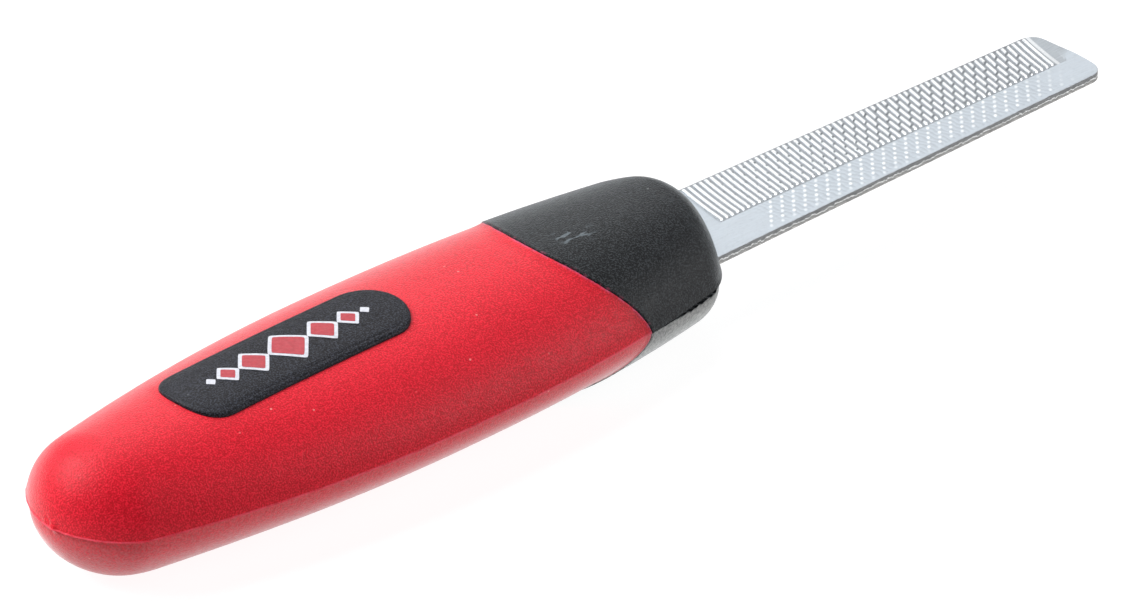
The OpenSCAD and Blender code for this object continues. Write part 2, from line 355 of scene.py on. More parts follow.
def collar_half(name, side):
    a = ANGLES[None, :]
    split = split_x(ANGLES, side) + border_wave(ANGLES, side)
    body = 1.0 - np.linspace(1.0, 0.0, COLLAR_ROWS) ** END_CROWD
    x_lip = np.stack([split + d for d, lift in BLACK_LIP])
    first = split + BLACK_LIP[-1][0] + LIP_ROOM
    x_body = first[None, :] + (HANDLE_LEN - first[None, :]) * body[:, None]
    x = np.concatenate([x_lip, x_body])
    steps = np.concatenate([[h for d, h in BLACK_LIP], np.full(COLLAR_ROWS, COLLAR_PROUD)])
    lift = steps[:, None] * np.ones_like(x)
    # The black stands proudest on top at its border, and all along its lower half
    forward = smooth_step((x - split[None, :]) / PROUD_FADE)
    extra = PROUD_TOP * (1.0 - forward) if side == UP else PROUD_LOW
    lift = lift + extra * section_z(a, side) ** 2 * (lift > 0)
    base = skin(x, a * np.ones_like(x), side)
    normal = skin_normals(base, False, True)
    dz = np.abs(base[..., 2] - SEAM_Z)
    # The seam of the black cover opens towards the front, where the upper half overhangs
    open_share = smooth_step((x - OPENS_AT) / OPENS_OVER)
    ripple = 1.0 + 0.45 * wobble(x[:, 0], 1.1, 21.0)[:, None]
    if side == UP:
        lift = lift + OVERHANG[0] * open_share * hump(dz, OVERHANG[1])
        gap = GAP_UP[0] + GAP_UP[1] * open_share * ripple
    else:
        depth, more, reach = BLACK_SET_BACK
        lift = lift - (depth + more * open_share) * hump(dz, reach)
        gap = GAP_DOWN[0] + GAP_DOWN[1] * open_share * ripple
    outer = base + normal * lift[..., None]
    if side == DOWN:
        outer[..., 2] = np.maximum(outer[..., 2], 0.0)
    outer = make_slot(outer, side)
    border = hump(x - split[None, :], 0.2)
    rubbed = base - SCUFF_AT
    scuff = np.exp(-np.sum(rubbed ** 2 * SCUFF_REACH, axis=-1)) * (side == UP)
    fields = {"border": border, "scuff": scuff, "floor_glare_and_dust": glare_dust_share(dz, gap, side)}
    return close_shell(name, outer, base, side, gap[:, 0], fields)


def glare_dust_share(dz, gap, side):
    """Painted reflection of the bright floor, with some pale dust film, on the lower half: none in
    the seam, most on the flanks, little below.
    """
    if side == UP:
        return np.zeros_like(dz)
    at_seam, more, flank_over = GLARE_DUST_FLANK
    loss, belly_at, belly_over = GLARE_DUST_BELLY
    flank = at_seam + more * smooth_step(dz / flank_over)
    belly = smooth_step((dz - belly_at) / belly_over)
    return smooth_step((dz - gap) / GLARE_DUST_EDGE) * flank * (1.0 - loss * belly)


def close_shell(name, outer, base, side, gap, fields):
    """Half shell between an outer skin and the core's skin, its seam faces drawn back by gap."""
    inner = HANDLE_MIDDLE + (base - HANDLE_MIDDLE) * CORE_K
    rows, cols = outer.shape[:2]
    clear_of_seam = np.minimum if side == DOWN else np.maximum
    for skin_points in (outer, inner):
        skin_points[..., 2] = clear_of_seam(skin_points[..., 2], SEAM_Z + side * gap[:, None])
    points = np.concatenate([outer.reshape(-1, 3), inner.reshape(-1, 3)])
    count = rows * cols
    rim = grid_rim(rows, cols)
    faces = grid_faces(rows, cols) + [f[::-1] for f in grid_faces(rows, cols, count)]
    for here, there in zip(rim, rim[1:] + rim[:1]):
        faces.append((here, there, there + count, here + count))
    return new_object(name, points, faces, SHARP_COVER, fields)


def make_slot(points, side):
    """Lifts the collar's nose clear of the blade that comes out of it."""
    height = side * (points[..., 2] - SEAM_Z)
    over_blade = smooth_step((BLADE_HALF + 0.12 - np.abs(points[..., 1])) / 0.08)
    in_nose = points[..., 0] > BUTT_X + ROOT_X
    height = np.maximum(height, (BLADE_TOP + SLOT_ROOM) * over_blade * in_nose)
    points[..., 2] = SEAM_Z + side * height
    return points


# ---------------------------------------------------------------- the badge

def red_top(x, y):
    """Height of the red top skin above the seam, in mm."""
    inside = np.clip(1.0 - (np.abs(y) / half_width(x)) ** FULLNESS_Y, 0.0, 1.0)
    return half_height(x, UP) * inside ** (1.0 / FULLNESS_UP)


# Height of the badge above the red, as in the CAD part
BADGE_PROUD = 0.5
# Depth of the foot of the badge's wall below its top face. The foot is sunk in the red
BADGE_WALL = 0.95
# Points round the badge's outline
BADGE_POINTS = 200
# Length over which each end of the badge rounds off, and how blunt the butt end is
BADGE_ROUND = 4.6
BADGE_BLUNT = 2.3
# The badge's middle line stops this far short of its ends
SPINE_SHORT = 4.8
# Share of the way out to the badge's edge, and drop of its surface there
BADGE_RIM = ((0.0, 0.0), (0.55, 0.0), (0.75, 0.0), (0.84, 0.0), (0.855, 0.025), (0.868, 0.035),
             (0.882, 0.025), (0.91, 0.03), (0.945, 0.045), (0.968, 0.075), (0.985, 0.13),
             (0.995, 0.22), (1.0, 0.34))


def badge_half(x):
    """The badge's outline: a full round at the front end, blunter at the butt end."""
    start = np.clip((x - BADGE_START) / BADGE_ROUND, 0.0, 1.0)
    end = np.clip((BADGE_END - x) / BADGE_ROUND, 0.0, 1.0)
    blunt = (1.0 - (1.0 - start) ** BADGE_BLUNT) ** (1.0 / BADGE_BLUNT)
    full = np.sqrt(np.clip(1.0 - (1.0 - end) ** 2, 0.0, 1.0))
    return BADGE_HALF * blunt * full


def badge_surface(x, y):
    return red_top(x, y) + BADGE_PROUD


def badge():
    steps = BADGE_POINTS
    turn = np.linspace(0.0, 2 * math.pi, steps, endpoint=False)
    x_edge = BADGE_START + (BADGE_END - BADGE_START) * (0.5 - 0.5 * np.cos(turn))
    y_edge = np.sign(np.sin(turn)) * badge_half(x_edge)
    y_edge[0] = 0.0
    y_edge[steps // 2] = 0.0
    spine = np.clip(x_edge, BADGE_START + SPINE_SHORT, BADGE_END - SPINE_SHORT)
    points = []
    for share, drop in BADGE_RIM:
        x = spine + (x_edge - spine) * share
        y = y_edge * share
        points.append(np.stack([BUTT_X + x, y, SEAM_Z + badge_surface(x, y) - drop], axis=-1))
    points.append(np.stack([BUTT_X + x_edge, y_edge,
                            SEAM_Z + badge_surface(x_edge, y_edge) - BADGE_WALL], axis=-1))
    rings = len(points)
    points = np.concatenate(points)
    faces = []
    for r in range(rings - 1):
        for p in range(steps):
            q = (p + 1) % steps
            near, far = r * steps, (r + 1) * steps
            faces.append((near + p, near + q, far + q, far + p))
    half = steps // 2
    # The innermost ring lies on the spine: its two sides meet there
    for p in range(1, half):
        opposite = (steps - p - 1, steps - p) if p + 1 < half else (steps - p,)
        faces.append((p, p + 1) + opposite)
    faces.append((0, 1, steps - 1))
    last = (rings - 1) * steps
    faces.append(tuple(last + p for p in range(steps)))
    return new_object("badge_pad_fine", points, faces, SHARP_BADGE)


# Points along each edge of a lozenge
LOZENGE_STEPS = 14
# Height of each ink over the badge and depth below its surface
WHITE_INK = (0.03, 0.04)
RED_INK = (0.055, 0.02)
# Lozenges from the emblem's middle: offset along it, half length and half width
LOZENGES = ((0.0, 3.3, 3.6), (5.5, 2.5, 2.8), (-5.5, 2.5, 2.8), (9.6, 1.8, 2.0), (-9.6, 1.8, 2.0))
END_LOZENGE = (12.3, 0.75, 0.8)
# White left showing round each red lozenge, along and across
WHITE_EDGE = (0.62, 0.68)
EMBLEM_SHIFT = 0.3


def lozenge(cx, half_x, half_y, top, base):
    """Thin printed lozenge on the badge, its middle at cx from the butt."""
    n = LOZENGE_STEPS
    u = np.linspace(-1.0, 1.0, n)
    s, t = np.meshgrid(u, u, indexing="ij")
    soft = 1.0 - 0.05 * (np.abs(s) * np.abs(t)) ** 8
    x = cx + half_x * (s - t) / 2 * soft
    y = half_y * (s + t) / 2 * soft
    level = SEAM_Z + badge_surface(x, y)
    upper = np.stack([BUTT_X + x, y, level + top], axis=-1).reshape(-1, 3)
    lower = np.stack([BUTT_X + x, y, level - base], axis=-1).reshape(-1, 3)
    count = n * n
    rim = grid_rim(n, n)
    faces = grid_faces(n, n) + [f[::-1] for f in grid_faces(n, n, count)]
    faces += [(a, b, b + count, a + count) for a, b in zip(rim, rim[1:] + rim[:1])]
    return np.concatenate([upper, lower]), faces


def joined(name, parts):
    points, faces, start = [], [], 0
    for part_points, part_faces in parts:
        points.append(part_points)
        faces += [tuple(start + v for v in f) for f in part_faces]
        start += len(part_points)
    return new_object(name, np.concatenate(points), faces, SHARP_BADGE)


def emblem():
    """Plain row of lozenges, red on white."""
    middle = (BADGE_START + BADGE_END) / 2 + EMBLEM_SHIFT
    end_at, end_x, end_y = END_LOZENGE
    edge_x, edge_y = WHITE_EDGE
    white = [lozenge(middle + at, hx, hy, *WHITE_INK) for at, hx, hy in LOZENGES]
    white += [lozenge(middle + side * end_at, end_x, end_y, *WHITE_INK) for side in (-1, 1)]
    red = [lozenge(middle + at, hx - edge_x, hy - edge_y, *RED_INK) for at, hx, hy in LOZENGES]
    return joined("badge_print_white", white), joined("badge_print_red", red)


# ---------------------------------------------------------------- the blade

# Half-width at the tip, radius of its corners, and how far its end bulges
TIP_HALF = 6.45
TIP_ROUND = 2.5
TIP_BULGE = 0.22
# Height of the blade's back over the seam
BLADE_BACK = -BLADE_TOP
# Depths of the ground hollow and of the grooves between the teeth
HOLLOW_DEPTH = 0.13
GROOVE_DEPTH = 0.12
# Width of the flat strip beside the hollow, as a share of the blade's width
FLAT_SHARE = 0.38
# Number of teeth, place of the first on the middle line, and step from tooth to tooth
TEETH = 63
FIRST_TOOTH = 108.35
TOOTH_PITCH = 0.9325
# Offsets inside one tooth pitch at which the blade's mesh has rows
TOOTH_ROWS = (-0.5, -0.4, -0.32, -0.26, -0.18, -0.09, 0.0, 0.09, 0.18, 0.26, 0.32, 0.4)
# Half of a crest's width, as a share of the tooth pitch
CREST_HALF = 0.215
# Second cut: shift of the gaps from one tooth to the next, and distance between gaps on a tooth
NOTCH_STEP = 1.41
NOTCH_GAP = 2.87
# The second cut starts here and grows over this length
NOTCH_START = 113.0
NOTCH_GROWS = 33.0
# Raised dots: first dot of the first row, step along a row, and shift from row to row
DOT_START = 115.4
DOT_STEP = 1.95
DOT_SHIFT = 0.8
# Rows of dots, the first one's distance from the hollow, and the step between them
DOT_ROWS = 6
DOT_FIRST_ROW = 0.52
DOT_ROW_STEP = 0.87
# Half-length, half-width and height of a dot
DOT_LONG = 0.42
DOT_SHORT = 0.26
DOT_HEIGHT = 0.04
# The dots wear out from here on, over this length
DOTS_WEAR = (155.0, 13.0)
# Length over which the ripples between the dots repeat, their slant and their height
RIPPLE_STEP = 0.81
RIPPLE_SLANT = 0.19
RIPPLE_HEIGHT = 0.007
# Height of a tooth's crest over the flat level, and depth of the pits between the bricks
CREST_OVER = 0.02
PIT_DEPTH = 0.06
# Rows of the mesh before the teeth and past them, and a tooth count that is no tooth
START_ROWS = 42
END_ROWS = 56
NO_TOOTH = 5.0
# Columns of the blade's mesh, and the half-width at which its rows have their skew
BLADE_COLS = 188
SKEW_HALF = 7.1
# Share of the half-width that the tiny break along the edges takes, and its drop
EDGE_BREAK = (0.012, 0.02)
# Sheared side: share of the way down, and how far the wall stands out there
SIDE_WALL = ((0.03, 0.02), (0.12, 0.025), (0.24, 0.02), (0.33, 0.0), (0.4, 0.02), (0.5, 0.015),
             (0.58, -0.015), (0.7, -0.01), (0.8, 0.0), (0.88, 0.02), (0.96, 0.02), (1.0, -0.03))
# The rough stretch of the sheared side, as shares of the way down
ROUGH_FROM, ROUGH_TO = 0.3, 0.85
# Two nicks in the upper part of the side
NICKS_AT = (154.3, 159.7)


def blade_half(x):
    straight = BLADE_HALF + (TIP_HALF - BLADE_HALF) * (x - HANDLE_LEN) / (TOOL_LEN - HANDLE_LEN)
    past = np.clip(x - (TOOL_LEN - TIP_ROUND), 0.0, TIP_ROUND)
    return straight - TIP_ROUND + np.sqrt(np.clip(TIP_ROUND ** 2 - past ** 2, 0.0, None))


def row_skew(s):
    return 0.2 + 0.05 * np.clip(s / (TEETH - 1), 0.0, 1.0)


def blade_rows():
    """Rows along the blade: place on the middle line, skew, tooth count, share of the end."""
    first = FIRST_TOOTH - 0.62 * TOOTH_PITCH
    start = np.linspace(0.0, 1.0, START_ROWS)[:-1]
    x0 = ROOT_X + (first - ROOT_X) * start
    skew0 = row_skew(0.0) * smooth_step((start - 0.35) / 0.65)
    s0 = np.full(len(x0), -NO_TOOTH)
    k = np.repeat(np.arange(TEETH), len(TOOTH_ROWS))
    s1 = k + np.tile(TOOTH_ROWS, TEETH)
    x1 = FIRST_TOOTH + TOOTH_PITCH * s1
    skew1 = row_skew(s1)
    last = FIRST_TOOTH + TOOTH_PITCH * (TEETH - 0.5)
    end = np.sin(np.linspace(0.0, math.pi / 2, END_ROWS))
    x2 = last + (TOOL_LEN - last) * end
    skew2 = row_skew(TEETH) * (1.0 - end)
    s2 = np.full(len(x2), TEETH + NO_TOOTH)
    end_share = np.concatenate([np.zeros(len(x0) + len(x1)), end])
    return (np.concatenate([x0, x1, x2]), np.concatenate([skew0, skew1, skew2]),
            np.concatenate([s0, s1, s2]), end_share)


def blade_relief(x, y, s, half):
    """Height of the cutting face over the flat level, and each place's share of every feature."""
    edge = -half + 2 * FLAT_SHARE * half
    middle = (edge + half) / 2
    span = (half - edge) / 2
    into = y - edge
    depth = HOLLOW_DEPTH * (1.0 - 0.55 * smooth_step((x - 166.0) / 4.0))
    hollow = np.where(into > 0, -depth * (1.0 - ((y - middle) / span) ** 2), 0.0)

    k = np.round(s)
    p = s - k
    toothed = (s > -0.6) & (s < TEETH)
    after = s >= TEETH
    # Floor of the grooves: starts at the first tooth, and runs on to the tip as a plain trough
    floor_share = np.where(toothed, smooth_step((s + 0.6) / 0.3), np.where(after, 1.0, 0.0))
    fade = 1.0 - smooth_step((x - 167.6) / 1.6)
    step = smooth_step((into - 0.02) / 0.1)
    run = 1 - fade
    step = np.where(after, smooth_step((into - 0.02 - 0.9 * run) / (0.1 + 2.2 * run)), step)
    shallower = 1.0 - 0.5 * after * smooth_step((x - 167.0) / 3.0)
    floor = -GROOVE_DEPTH * floor_share * step * shallower

    # Crest of each tooth, rounded at its near end and run out at the far edge
    reach = np.clip((into - 0.3) / 0.5, 0.0, 1.0)
    round_near = np.sqrt(np.clip(1.0 - (1.0 - reach) ** 2, 0.0, 1.0))
    out = half - y
    run_out = smooth_step((out - 0.02) / 0.42)
    width = CREST_HALF * round_near * (0.72 + 0.28 * run_out)
    crest = smooth_step((width - np.abs(p)) / 0.06 + 0.5) * (into > 0.3) * toothed
    wave = 0.92 + 0.08 * np.sin(k * 12.9898) * np.cos(k * 4.1)
    crest = crest * run_out * wave

    # Second cut: a brick pattern of slanted gaps that grows towards the tip
    slanted = y - 0.5 * TOOTH_PITCH * p
    centre = 2.5 + NOTCH_STEP * (k - 44)
    off = np.mod(slanted - centre + NOTCH_GAP / 2, NOTCH_GAP) - NOTCH_GAP / 2
    grown = np.clip((x - NOTCH_START) / NOTCH_GROWS, 0.0, 1.0)
    before_end = s < TEETH - 3.4
    gap_half = 0.1 + 0.115 * grown
    through = 0.2 - 0.62 * grown
    notch = smooth_step((gap_half - np.abs(off)) / 0.07 + 0.5)
    notch = notch * smooth_step((p - through) / 0.08 + 0.5) * (x > NOTCH_START) * before_end
    notch = notch * (into > 0.55) * toothed
    crest = crest * (1.0 - notch)
    pit = notch * (1.0 - 0.55 * grown)

    # Raised dots on the flat strip
    dots = np.zeros_like(x)
    for j in range(DOT_ROWS):
        row_y = edge - DOT_FIRST_ROW - DOT_ROW_STEP * j
        i = np.round((x - DOT_START + DOT_SHIFT * j) / DOT_STEP)
        dx = x - (DOT_START + DOT_STEP * i - DOT_SHIFT * j)
        dy = y - row_y
        long_way = (dx + dy) / math.sqrt(2) / DOT_LONG
        short_way = (dx - dy) / math.sqrt(2) / DOT_SHORT
        dome = np.clip(1.0 - long_way ** 2 - short_way ** 2, 0.0, 1.0) ** 0.6
        lattice_x = x - dx
        vary = 0.85 + 0.15 * np.sin(i * 7.3 + j * 3.1)
        strength = (i > -0.5) * (1.0 - smooth_step((lattice_x - DOTS_WEAR[0]) / DOTS_WEAR[1]))
        strength = strength * (1.0 if j < DOT_ROWS - 1 else 0.6) * vary
        strength = strength * smooth_step((row_y + half - 0.35) / 0.4)
        dots = np.maximum(dots, dome * strength)

    # Shallow waves between the dots; their low parts get painted shade in the blade's colour
    bend = 1.2 * np.sin(2.6 * y + 1.3 * np.sin(1.7 * x))
    ripple = np.sin(2 * math.pi * (x + RIPPLE_SLANT * y) / RIPPLE_STEP + bend)
    ripple = ripple * (into < -0.15) * smooth_step((half + y - 0.3) / 0.4)
    ripple = ripple * smooth_step((x - 111.0) / 4.0) * (1.0 - smooth_step((x - 158.0) / 8.0))
    height = (hollow + floor + RIPPLE_HEIGHT * ripple + crest * (GROOVE_DEPTH + CREST_OVER)
              + DOT_HEIGHT * dots - PIT_DEPTH * pit)
    groove = floor_share * step * (1.0 - crest)
    # Painted highlight on the wall where the cutting stops, past the last tooth
    past = x - (FIRST_TOOTH + TOOTH_PITCH * (TEETH - 0.5)) - row_skew(TEETH) * y
    wall = after * step * smooth_step((past - 0.02) / 0.1)
    wall = wall * (1.0 - smooth_step((past - 0.55) / 0.2))
    # Shares of the blade's colours: painted highlight on the crests and the wall, painted shade in
    # the grooves, pits, trough and low parts of the waves, and the dots
    shares = {"crest": np.maximum(crest, 0.6 * wall), "dots": dots, "groove": groove, "pit": pit,
              "trough": after * step * (1.0 - wall), "ripple": 0.5 - 0.5 * ripple}
    return height, shares


def blade():
    xc, skew, s_line, end_share = blade_rows()
    cols = BLADE_COLS
    t = np.linspace(-1.0, 1.0, cols)
    bulge = TIP_BULGE * end_share[:, None] ** 6 * t[None, :] ** 2
    x = xc[:, None] + skew[:, None] * t[None, :] * SKEW_HALF
    x = x - bulge
    x = np.minimum(x, TOOL_LEN)
    half = blade_half(x + bulge)
    y = t[None, :] * half
    s = s_line[:, None] * np.ones_like(x)
    height, fields = blade_relief(x, y, s, half)
    # A tiny break along all edges
    broken, drop = EDGE_BREAK
    edge_drop = drop * smooth_step((np.abs(t) - (1.0 - broken)) / broken)[None, :]
    z = SEAM_Z + BLADE_TOP + height - edge_drop
    top = np.stack([BUTT_X + x, y, z], axis=-1).reshape(-1, 3)
    rows = len(xc)
    faces = grid_faces(rows, cols)
    rim = grid_rim(rows, cols)
    rim_points = top[rim]
    ahead = np.roll(rim_points, -1, axis=0) - np.roll(rim_points, 1, axis=0)
    outward = np.stack([ahead[:, 1], -ahead[:, 0]], axis=-1)
    outward = outward / np.maximum(np.linalg.norm(outward, axis=-1, keepdims=True), 1e-9)

    # Sheared side, level by level from the cutting face down to the back
    back_z = SEAM_Z + BLADE_BACK
    levels = []
    bands = []
    along = rim_points[:, 0] - BUTT_X
    for share, stand in SIDE_WALL:
        rough = 1.0 if ROUGH_FROM < share < ROUGH_TO else 0.12
        level = rim_points.copy()
        level[:, 2] = rim_points[:, 2] + (back_z - rim_points[:, 2]) * share
        grit = rough_at(level * (1.0, 0.3, 1.6), 1.1, 2.0) + 0.7 * rough_at(level, 3.7, 6.0)
        calm = 1.0 - 0.6 * smooth_step((along - 147.0) / 8.0)
        nick = sum(hump(along - at, 0.3) for at in NICKS_AT) * (share < ROUGH_FROM)
        level[:, :2] += outward * (stand + 0.045 * rough * calm * grit - 0.12 * nick)[:, None]
        level[:, 0] = np.clip(level[:, 0], BUTT_X + ROOT_X, TIP_X)
        levels.append(level)
        bands.append(np.full(len(rim), share))
    points = np.concatenate([top] + levels)
    count = len(rim)
    loops = [rim] + [[len(top) + n * count + i for i in range(count)]
                     for n in range(len(SIDE_WALL))]
    for upper, lower in zip(loops, loops[1:]):
        for i in range(count):
            j = (i + 1) % count
            faces.append((upper[i], upper[j], lower[j], lower[i]))
    faces.append(tuple(loops[-1]))

    side = np.zeros(len(points))
    side[len(top):] = 1.0
    # The back is brushed like the face, so its loop isn't part of the side
    side[loops[-1]] = 0.0
    fields["side"] = side
    fields["band"] = np.concatenate([np.zeros(len(top))] + bands)
    return new_object("file_blade_fine", points, faces, SHARP_BLADE, fields)


def tang():
    """The part of the blade that the handle hides, cut from the CAD blade."""
    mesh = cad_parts["file_blade"].data.copy()
    mesh.materials.clear()
    obj = bpy.data.objects.new("file_blade_tang", mesh)
    bpy.context.scene.collection.objects.link(obj)
    bm = bmesh.new()
    bm.from_mesh(mesh)
    bmesh.ops.remove_doubles(bm, verts=bm.verts, dist=MERGE_AT)
    cut_x = (BUTT_X + ROOT_X) * MM
    bmesh.ops.bisect_plane(bm, geom=bm.verts[:] + bm.edges[:] + bm.faces[:], dist=1e-8,
                           plane_co=(cut_x, 0, 0), plane_no=(1, 0, 0), clear_outer=True)
    bmesh.ops.holes_fill(bm, edges=[e for e in bm.edges if e.is_boundary], sides=0)
    bm.to_mesh(mesh)
    bm.free()
    tidy_mesh(obj, SHARP_TANG)
    return obj


# ---------------------------------------------------------------- materials

class Finish:
    """A material with a Principled shader, and short calls for its nodes."""

    def __init__(self, name):
        self.material = bpy.data.materials.new(name)
        self.material.use_nodes = True
        self.tree = self.material.node_tree
        self.shader = self.tree.nodes["Principled BSDF"]
        self.place = self.tree.nodes.new("ShaderNodeTexCoord").outputs["Object"]

    def put(self, socket, value):
        if isinstance(value, bpy.types.NodeSocket):
            self.tree.links.new(value, socket)
        else:
            socket.default_value = value

    def set(self, **values):
        for name, value in values.items():
            label = name.replace("_", " ")
            self.put(self.shader.inputs[label], value)

    def stretch(self, x, y, z, turn=(0, 0, 0)):
        node = self.tree.nodes.new("ShaderNodeMapping")
        self.put(node.inputs["Vector"], self.place)
        node.inputs["Scale"].default_value = (x, y, z)
        node.inputs["Rotation"].default_value = turn
        return node.outputs["Vector"]

    def noise(self, scale, detail=2.0, rough=0.5, where=None):
        node = self.tree.nodes.new("ShaderNodeTexNoise")
        self.put(node.inputs["Vector"], where or self.place)
        node.inputs["Scale"].default_value = scale
        node.inputs["Detail"].default_value = detail
        node.inputs["Roughness"].default_value = rough
        return node.outputs["Fac"]

    def specks(self, scale):
        """Distance to the nearest of a scatter of points, and a random colour for each point."""
        node = self.tree.nodes.new("ShaderNodeTexVoronoi")
        self.put(node.inputs["Vector"], self.place)
        node.inputs["Scale"].default_value = scale
        return node.outputs["Distance"], node.outputs["Color"]

    def math(self, kind, a, b=0.0):
        node = self.tree.nodes.new("ShaderNodeMath")
        node.operation = kind
        self.put(node.inputs[0], a)
        self.put(node.inputs[1], b)
        return node.outputs[0]

    def span(self, value, low, high, to_low=0.0, to_high=1.0):
        """Maps low..high to to_low..to_high, held at both ends."""
        node = self.tree.nodes.new("ShaderNodeMapRange")
        node.interpolation_type = "SMOOTHSTEP"
        self.put(node.inputs["Value"], value)
        node.inputs["From Min"].default_value = low
        node.inputs["From Max"].default_value = high
        node.inputs["To Min"].default_value = to_low
        node.inputs["To Max"].default_value = to_high
        return node.outputs["Result"]

    def mix(self, share, a, b):
        node = self.tree.nodes.new("ShaderNodeMix")
        node.data_type = "RGBA"
        self.put(node.inputs["Factor"], share)
        for label, value in (("A", a), ("B", b)):
            socket = [i for i in node.inputs if i.name == label and i.type == "RGBA"][0]
            self.put(socket, value)
        return [o for o in node.outputs if o.type == "RGBA"][0]

    def axis(self, name):
        node = self.tree.nodes.new("ShaderNodeSeparateXYZ")
        self.put(node.inputs[0], self.place)
        return node.outputs[name]

    def field(self, name):
        node = self.tree.nodes.new("ShaderNodeAttribute")
        node.attribute_name = name
        return node.outputs["Fac"]

    def bump(self, height, distance, strength=1.0, under=None):
        node = self.tree.nodes.new("ShaderNodeBump")
        self.put(node.inputs["Height"], height)
        node.inputs["Distance"].default_value = distance
        node.inputs["Strength"].default_value = strength
        if under is not None:
            self.put(node.inputs["Normal"], under)
        return node.outputs["Normal"]

    def wear(self, obj):
        obj.data.materials.clear()
        obj.data.materials.append(self.material)


def colour(r, g, b):
    return (r, g, b, 1.0)


# Noise scale of the fine matte grain on the soft covers, and on the badge
SOFT_GRAIN = 5000.0
BADGE_GRAIN = 5200.0


def grainy(m, scale, base, dark, light):
    """Fine matte grain, darker and lighter specks over a base. Returns the colour and the grain."""
    grain = m.noise(scale, 0.0, 0.5)
    base = m.mix(m.span(grain, 0.5, 0.3, 0.0, 1.0), base, dark)
    return m.mix(m.span(grain, 0.5, 0.7, 0.0, 1.0), base, light), grain


def dusted(m, base, share, dust_colour):
    """Scattered specks of dust, a few to a square centimetre."""
    near, shade = m.specks(420.0)
    dust = m.math("MULTIPLY", m.span(near, 0.04, 0.08, 1.0, 0.0), m.span(shade, 0.62, 0.8))
    return m.mix(m.math("MULTIPLY", dust, share), base, dust_colour)


def painted_glare_dust(m, share):
    """Painted reflection of the bright floor at grazing angles, with some pale dust film from being
    handled and laid down, in patches.
    """
    patchy = m.span(m.noise(2600.0, 2.0, 0.6), 0.3, 0.7, 0.45, 1.0)
    return m.math("MULTIPLY", m.field("floor_glare_and_dust"), m.math("MULTIPLY", patchy, share))


def red_soft():
    m = Finish("red_soft_touch")
    broad = m.noise(55.0, 3.0, 0.55)
    base = m.mix(m.span(broad, 0.3, 0.7), colour(0.52, 0.0045, 0.016), colour(0.58, 0.0065, 0.021))
    base, grain = grainy(m, SOFT_GRAIN, base, colour(0.43, 0.003, 0.011),
                         colour(0.71, 0.011, 0.030))
    # Thin paler flash along the seam, with a painted highlight on the seam lip
    height = m.math("SUBTRACT", m.axis("Z"), SEAM_Z * MM)
    off = m.math("ABSOLUTE", m.math("SUBTRACT", height, 0.00004))
    streak = m.noise(420.0, 2.0, 0.6)
    near_seam = m.span(off, 0.00007, 0.00022, 0.6, 0.0)
    flash_and_highlight = m.math("MULTIPLY", near_seam, m.span(streak, 0.3, 0.6, 0.45, 1.0))
    base = m.mix(flash_and_highlight, base, colour(0.78, 0.10, 0.15))
    # Painted shade on the red beside the proud black, and a thin torn edge against it
    shade_patches = m.span(m.noise(900.0, 3.0, 0.7), 0.35, 0.7, 0.25, 0.9)
    painted_shade = m.math("MULTIPLY", m.field("shade_beside_black"), shade_patches)
    base = m.mix(m.math("MULTIPLY", painted_shade, 0.62), base, colour(0.15, 0.008, 0.014))
    ragged = m.span(m.noise(1300.0, 2.0, 0.6), 0.35, 0.6, 0.1, 1.0)
    torn = m.math("MULTIPLY", m.field("border"), ragged)
    base = m.mix(m.math("MULTIPLY", torn, 0.8), base, colour(0.50, 0.11, 0.24))
    # Pale colour below the seam: painted reflection of the bright floor, with some dust film
    base = m.mix(painted_glare_dust(m, 0.95), base, colour(0.47, 0.115, 0.125))
    m.set(Base_Color=dusted(m, base, 0.5, colour(0.85, 0.40, 0.36)))
    m.set(Roughness=m.span(m.noise(900.0, 3.0, 0.6), 0.3, 0.7, 0.40, 0.52))
    soft = m.bump(m.noise(240.0, 3.0, 0.5), 0.00002, 0.5)
    m.set(Normal=m.bump(grain, 0.00004, 1.0, soft))
    m.shader.inputs["Specular IOR Level"].default_value = 0.16
    m.shader.inputs["Sheen Weight"].default_value = 0.7
    m.shader.inputs["Sheen Roughness"].default_value = 0.35
    return m


def black_soft():
    m = Finish("black_soft_touch")
    broad = m.noise(70.0, 3.0, 0.5)
    base = m.mix(m.span(broad, 0.3, 0.7), colour(0.006, 0.007, 0.008), colour(0.011, 0.012, 0.014))
    base, grain = grainy(m, SOFT_GRAIN, base, colour(0.002, 0.002, 0.003),
                         colour(0.030, 0.034, 0.038))
    # Light scuffs in one rubbed place on top, short marks along the tool
    marks = m.stretch(420.0, 1500.0, 900.0, (0, 0, 0.35))
    lines = m.span(m.noise(1.0, 3.0, 0.7, marks), 0.51, 0.60)
    scuffs = m.math("MULTIPLY", lines, m.span(m.field("scuff"), 0.15, 0.75))
    base = m.mix(m.math("MULTIPLY", scuffs, 0.7), base, colour(0.15, 0.18, 0.20))
    # Traces of red along the border
    ragged = m.span(m.noise(1300.0, 2.0, 0.6), 0.5, 0.7, 0.0, 1.0)
    torn = m.math("MULTIPLY", m.field("border"), ragged)
    base = m.mix(m.math("MULTIPLY", torn, 0.6), base, colour(0.30, 0.07, 0.12))
    # Pale grey below the seam: painted reflection of the bright floor, with some dust film
    base = m.mix(painted_glare_dust(m, 1.0), base, colour(0.43, 0.43, 0.42))
    m.set(Base_Color=dusted(m, base, 0.45, colour(0.3, 0.32, 0.32)))
    m.set(Roughness=m.span(m.noise(1000.0, 3.0, 0.6), 0.3, 0.7, 0.40, 0.50))
    soft = m.bump(m.noise(260.0, 3.0, 0.5), 0.00002, 0.5)
    m.set(Normal=m.bump(grain, 0.00006, 1.0, soft))
    m.shader.inputs["Specular IOR Level"].default_value = 0.17
    m.shader.inputs["Sheen Weight"].default_value = 0.41
    m.shader.inputs["Sheen Roughness"].default_value = 0.35
    m.shader.inputs["Sheen Tint"].default_value = (0.9, 0.96, 1.0, 1.0)
    return m


